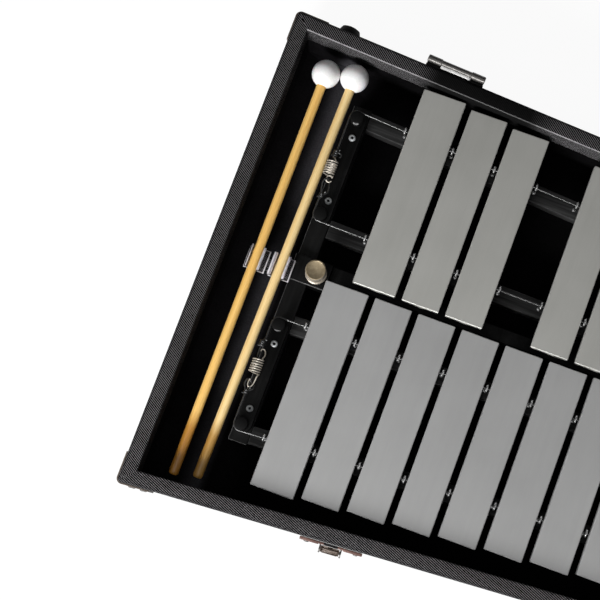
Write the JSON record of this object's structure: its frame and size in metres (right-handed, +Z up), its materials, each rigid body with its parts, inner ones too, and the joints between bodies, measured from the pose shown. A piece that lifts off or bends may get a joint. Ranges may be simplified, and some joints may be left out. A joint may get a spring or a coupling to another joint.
{
  "type": "concert glockenspiel",
  "caption": "Two-row concert glockenspiel with steel bars on corded rails, held by thumb knobs in a tapered open carrying case with two clipped mallets.",
  "frame": {"origin": "centre of the bounding box in plan, at the underside of the case", "axes": "+X from the lowest bar to the highest, +Y from the player to the accidental row, +Z up"},
  "size_m": [0.968, 0.464, 0.0759],
  "materials": {
    "case_cover": "plywood under a dark woven vinyl cover",
    "frame_black": "satin black paint",
    "bar_steel": "satin grey, finely brushed along the bar",
    "cord_black": "braided black cord",
    "spring_steel": "bright drawn wire",
    "knob_nickel": "nickel-plated, turned top",
    "fitting_chrome": "bright plated",
    "stick_wood": "varnished birch",
    "head_white": "glossy white",
    "clip_clear": "clear plastic",
    "handle_black": "moulded black"
  },
  "bodies": {
    "case": {"case_tray": "case_cover", "base_board_left": "frame_black", "end_frame_right": "frame_black", "centre_stretcher": "frame_black", "natural_front_rail": "frame_black", "natural_back_rail": "frame_black", "accidental_front_rail": "frame_black", "accidental_back_rail": "frame_black", "natural_end_block_left": "frame_black", "accidental_end_block_left": "frame_black", "natural_cord": "cord_black", "accidental_cord": "cord_black", "natural_spring": "spring_steel", "accidental_spring": "spring_steel", "mallet_clips": "clip_clear", "hinge_left": "fitting_chrome", "hinge_right": "fitting_chrome", "latch_plate_left": "fitting_chrome", "latch_plate_right": "fitting_chrome", "bar_F5": "bar_steel", "bar_G5": "bar_steel", "bar_A5": "bar_steel", "bar_B5": "bar_steel", "bar_C6": "bar_steel", "bar_D6": "bar_steel", "bar_E6": "bar_steel", "bar_F6": "bar_steel", "bar_G6": "bar_steel", "bar_A6": "bar_steel", "bar_B6": "bar_steel", "bar_C7": "bar_steel", "bar_D7": "bar_steel", "bar_E7": "bar_steel", "bar_F7": "bar_steel", "bar_G7": "bar_steel", "bar_A7": "bar_steel", "bar_B7": "bar_steel", "bar_C8": "bar_steel", "bar_Fs5": "bar_steel", "bar_Gs5": "bar_steel", "bar_As5": "bar_steel", "bar_Cs6": "bar_steel", "bar_Ds6": "bar_steel", "bar_Fs6": "bar_steel", "bar_Gs6": "bar_steel", "bar_As6": "bar_steel", "bar_Cs7": "bar_steel", "bar_Ds7": "bar_steel", "bar_Fs7": "bar_steel", "bar_Gs7": "bar_steel", "bar_As7": "bar_steel"},
    "knob_left": {"thumb_knob_left": "knob_nickel"},
    "knob_right": {"thumb_knob_right": "knob_nickel"},
    "mallet_1": {"mallet_1_stick": "stick_wood", "mallet_1_head": "head_white"},
    "mallet_2": {"mallet_2_stick": "stick_wood", "mallet_2_head": "head_white"},
    "latch_left": {"latch_lever_left": "fitting_chrome"},
    "latch_right": {"latch_lever_right": "fitting_chrome"},
    "carrying_handle": {"handle": "handle_black"}
  },
  "joints": [
    {"name": "knob_left_turn", "type": "hinge", "parent": "case", "child": "knob_left", "pos_m": [-0.38555, 0.00749, 0.0403], "axis": [0, 0, 1], "continuous": true},
    {"name": "knob_right_turn", "type": "hinge", "parent": "case", "child": "knob_right", "pos_m": [0.42695, 0.00749, 0.0403], "axis": [0, 0, 1], "continuous": true},
    {"name": "mallet_1_lift", "type": "slide", "parent": "case", "child": "mallet_1", "axis": [0, 0, 1], "range_m": [0, 0.06]},
    {"name": "mallet_2_lift", "type": "slide", "parent": "case", "child": "mallet_2", "axis": [0, 0, 1], "range_m": [0, 0.06]},
    {"name": "latch_left_swing", "type": "hinge", "parent": "case", "child": "latch_left", "pos_m": [-0.28621, -0.22339, 0.044], "axis": [0.9972, 0.0748, 0], "range_deg": [0, 110]},
    {"name": "latch_right_swing", "type": "hinge", "parent": "case", "child": "latch_right", "pos_m": [0.28709, -0.18039, 0.044], "axis": [0.9972, 0.0748, 0], "range_deg": [0, 110]},
    {"name": "handle_swing", "type": "hinge", "parent": "case", "child": "carrying_handle", "pos_m": [0.00086, -0.20747, 0.042], "axis": [-0.9972, -0.0748, 0], "range_deg": [0, 175]}
  ]
}
